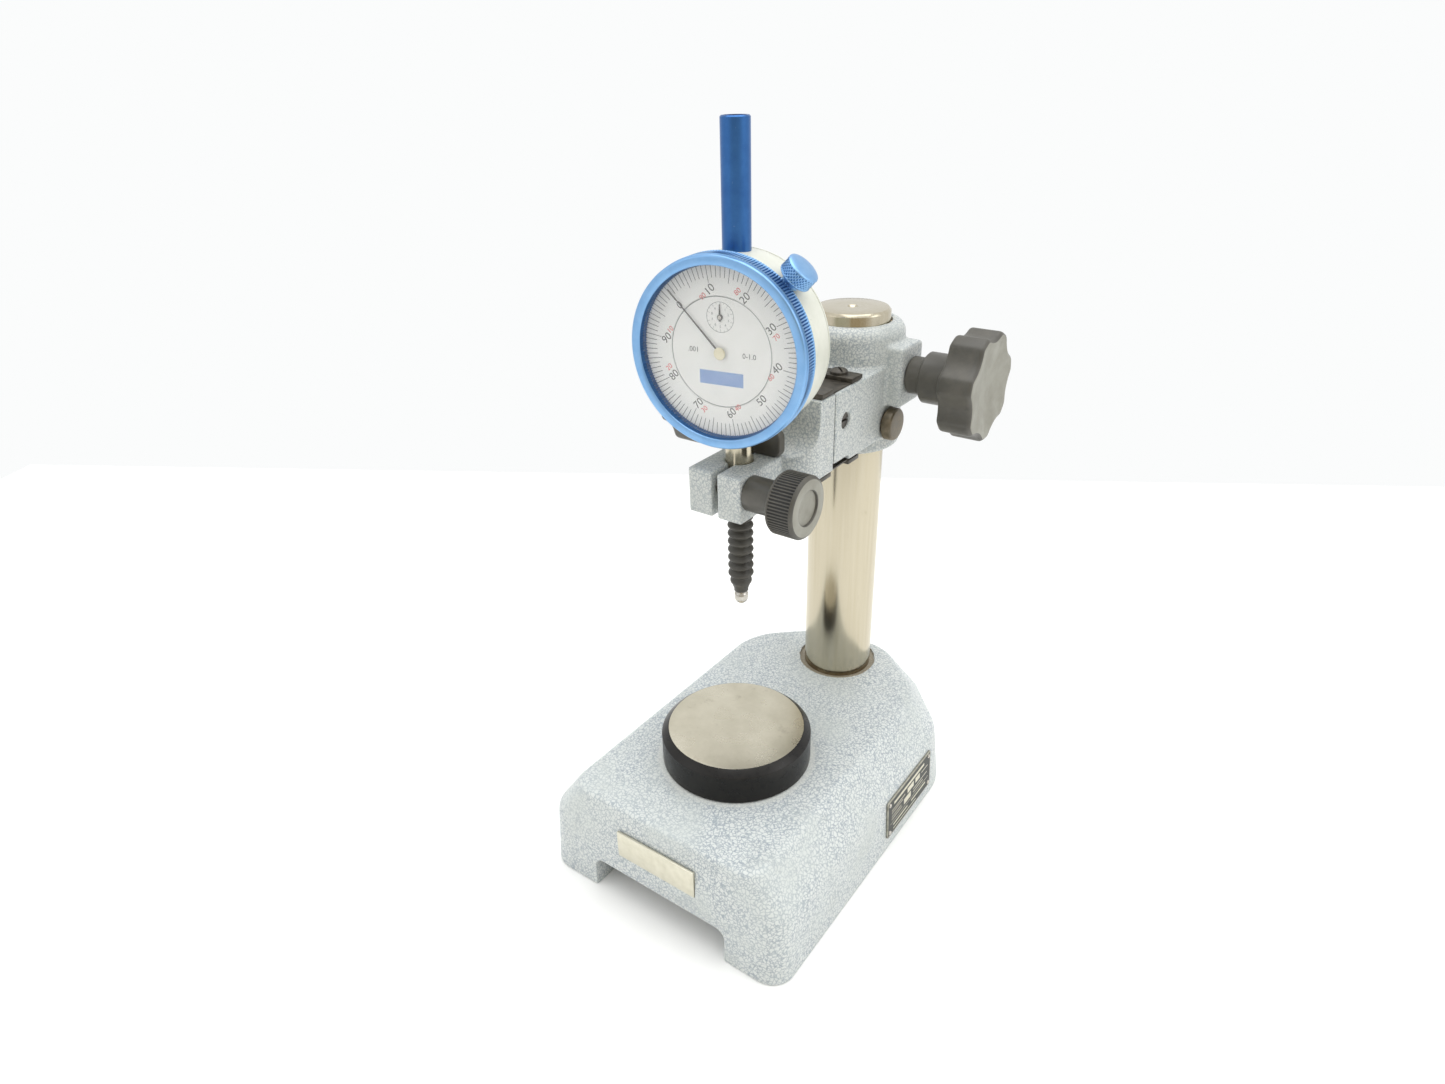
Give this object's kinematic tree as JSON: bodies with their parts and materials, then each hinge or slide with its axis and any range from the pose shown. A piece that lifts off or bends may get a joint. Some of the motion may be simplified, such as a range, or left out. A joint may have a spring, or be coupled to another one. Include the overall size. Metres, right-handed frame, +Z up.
{
  "type": "comparator stand with dial indicator",
  "caption": "Bench comparator stand: heavy base with a round steel anvil, column, clamping arm with fine feed, and a plunger dial indicator with rubber boot.",
  "frame": {"origin": "on the bench surface, straight below the middle of the anvil", "axes": "+X to the right of a person facing the dial, +Y back towards the column, +Z up along the column and the indicator's spindle"},
  "size_m": [0.112, 0.1597, 0.2725],
  "materials": {
    "hammertone_paint": "hammered paint, light blue-grey",
    "ground_steel": "ground",
    "column_steel": "polished",
    "black_plastic": "satin moulded plastic",
    "blued_steel": "blackened steel",
    "blue_anodised": "satin anodised",
    "ivory_paint": "gloss enamel",
    "brass": "satin",
    "steel_small": "turned",
    "dial_white": "matt white",
    "hand_black": "matt black",
    "boot_rubber": "matt rubber",
    "crystal_clear": "clear",
    "plate_silver": "bright",
    "bronze": "plain"
  },
  "bodies": {
    "stand": {"base_casting": "hammertone_paint", "name_plate": "plate_silver", "data_plate": "plate_silver", "data_plate_rivets": "steel_small", "anvil": "ground_steel", "anvil_screw": "steel_small", "column": "column_steel", "column_set_screw": "blued_steel"},
    "bush": {"column_bush": "bronze"},
    "bracket": {"bracket": "hammertone_paint", "clamp_pad": "bronze", "side_plug": "blued_steel", "rear_spring_plates": "blued_steel", "rear_spring_screws": "blued_steel", "leaf_spring_upper": "blued_steel", "leaf_spring_lower": "blued_steel"},
    "clamp_knob": {"clamp_star_knob": "black_plastic", "clamp_screw": "steel_small"},
    "feed_knob": {"feed_star_knob": "black_plastic", "feed_shaft": "steel_small"},
    "front_block": {"front_block": "hammertone_paint", "rest_pad": "black_plastic", "front_spring_plates": "blued_steel", "front_spring_screws": "blued_steel"},
    "stem_knob": {"stem_clamp_knob": "black_plastic", "stem_clamp_screw": "steel_small"},
    "indicator": {"indicator_case": "ivory_paint", "back_cover": "ivory_paint", "back_cover_screws": "steel_small", "stem": "column_steel", "guard_tube": "blue_anodised", "tube_cap": "blue_anodised", "inner_dial": "dial_white", "movement_front_plate": "brass", "movement_middle_plate": "brass", "arbor_cock": "brass", "movement_pillars": "brass", "guide_rail": "brass"},
    "spindle": {"spindle": "steel_small", "contact_point": "column_steel", "boot": "boot_rubber", "return_spring": "steel_small"},
    "rack_arbor": {"rack_pinion": "steel_small", "first_wheel": "brass"},
    "centre_arbor": {"centre_pinion": "steel_small", "pointer": "hand_black", "pointer_hub": "brass"},
    "counter_arbor": {"counter_wheel": "brass", "counter_hand": "hand_black"},
    "take_up_arbor": {"take_up_wheel": "brass", "hairspring": "steel_small"},
    "bezel": {"bezel_ring": "blue_anodised", "crystal": "crystal_clear", "scale_ring": "dial_white"},
    "bezel_lock": {"bezel_lock_screw": "blue_anodised"}
  },
  "joints": [
    {"name": "height_slide", "type": "slide", "parent": "stand", "child": "bush", "axis": [0, 0, 1], "range_m": [-0.05, 0.012]},
    {"name": "arm_swing", "type": "hinge", "parent": "bush", "child": "bracket", "pos_m": [0, 0.0804, 0.175], "axis": [0, 0, 1], "range_deg": [-60, 60]},
    {"name": "clamp_knob_turn", "type": "hinge", "parent": "bracket", "child": "clamp_knob", "pos_m": [0.0403, 0.0804, 0.1807], "axis": [1, 0, 0], "range_deg": [-180, 180]},
    {"name": "feed_knob_turn", "type": "hinge", "parent": "bracket", "child": "feed_knob", "pos_m": [-0.0398, 0.043, 0.1725], "axis": [1, 0, 0], "range_deg": [-50, 50]},
    {"name": "fine_feed", "type": "slide", "parent": "bracket", "child": "front_block", "axis": [0, 0, 1], "range_m": [-0.00047, 0.00047], "deforming": ["leaf_spring_upper", "leaf_spring_lower"]},
    {"name": "stem_knob_turn", "type": "hinge", "parent": "front_block", "child": "stem_knob", "pos_m": [0.0107, -0.0045, 0.1605], "axis": [1, 0, 0], "range_deg": [-180, 180]},
    {"name": "indicator_turn", "type": "hinge", "parent": "front_block", "child": "indicator", "pos_m": [0, 0.0046, 0.159], "axis": [0, 0, 1], "range_deg": [-30, 25]},
    {"name": "spindle_slide", "type": "slide", "parent": "indicator", "child": "spindle", "axis": [0, 0, 1], "range_m": [0, 0.02], "stiffness_N_per_m": 25, "springref_m": -0.03, "deforming": ["boot", "return_spring"]},
    {"name": "rack_pinion_turn", "type": "hinge", "parent": "indicator", "child": "rack_arbor", "pos_m": [-0.00593, 0.00374, 0.19723], "axis": [0.1438, -0.9896, 0], "range_deg": [0, 287.46]},
    {"name": "pointer_turn", "type": "hinge", "parent": "indicator", "child": "centre_arbor", "pos_m": [0, 0.0046, 0.20645], "axis": [0.1438, -0.9896, 0], "range_deg": [-2874.65, 0]},
    {"name": "counter_turn", "type": "hinge", "parent": "indicator", "child": "counter_arbor", "pos_m": [0, 0.0046, 0.21745], "axis": [0.1438, -0.9896, 0], "range_deg": [0, 287.46]},
    {"name": "take_up_turn", "type": "hinge", "parent": "indicator", "child": "take_up_arbor", "pos_m": [0.01044, 0.00612, 0.20334], "axis": [0.1438, -0.9896, 0], "range_deg": [0, 287.46]},
    {"name": "bezel_turn", "type": "hinge", "parent": "indicator", "child": "bezel", "pos_m": [0.00158, -0.00629, 0.20645], "axis": [0.1438, -0.9896, 0], "range_deg": [-180, 180]},
    {"name": "bezel_lock_turn", "type": "hinge", "parent": "indicator", "child": "bezel_lock", "pos_m": [0.00079, -0.00084, 0.20645], "axis": [0.6749, 0.0981, 0.7314], "range_deg": [-180, 180]}
  ],
  "couplings": [
    {"joint": "feed_knob_turn", "follows": "fine_feed", "rad_per_m": 1837.4},
    {"joint": "rack_pinion_turn", "follows": "spindle_slide", "rad_per_m": 247.37},
    {"joint": "pointer_turn", "follows": "spindle_slide", "rad_per_m": -2473.7},
    {"joint": "counter_turn", "follows": "spindle_slide", "rad_per_m": 247.37},
    {"joint": "take_up_turn", "follows": "spindle_slide", "rad_per_m": 247.37}
  ]
}
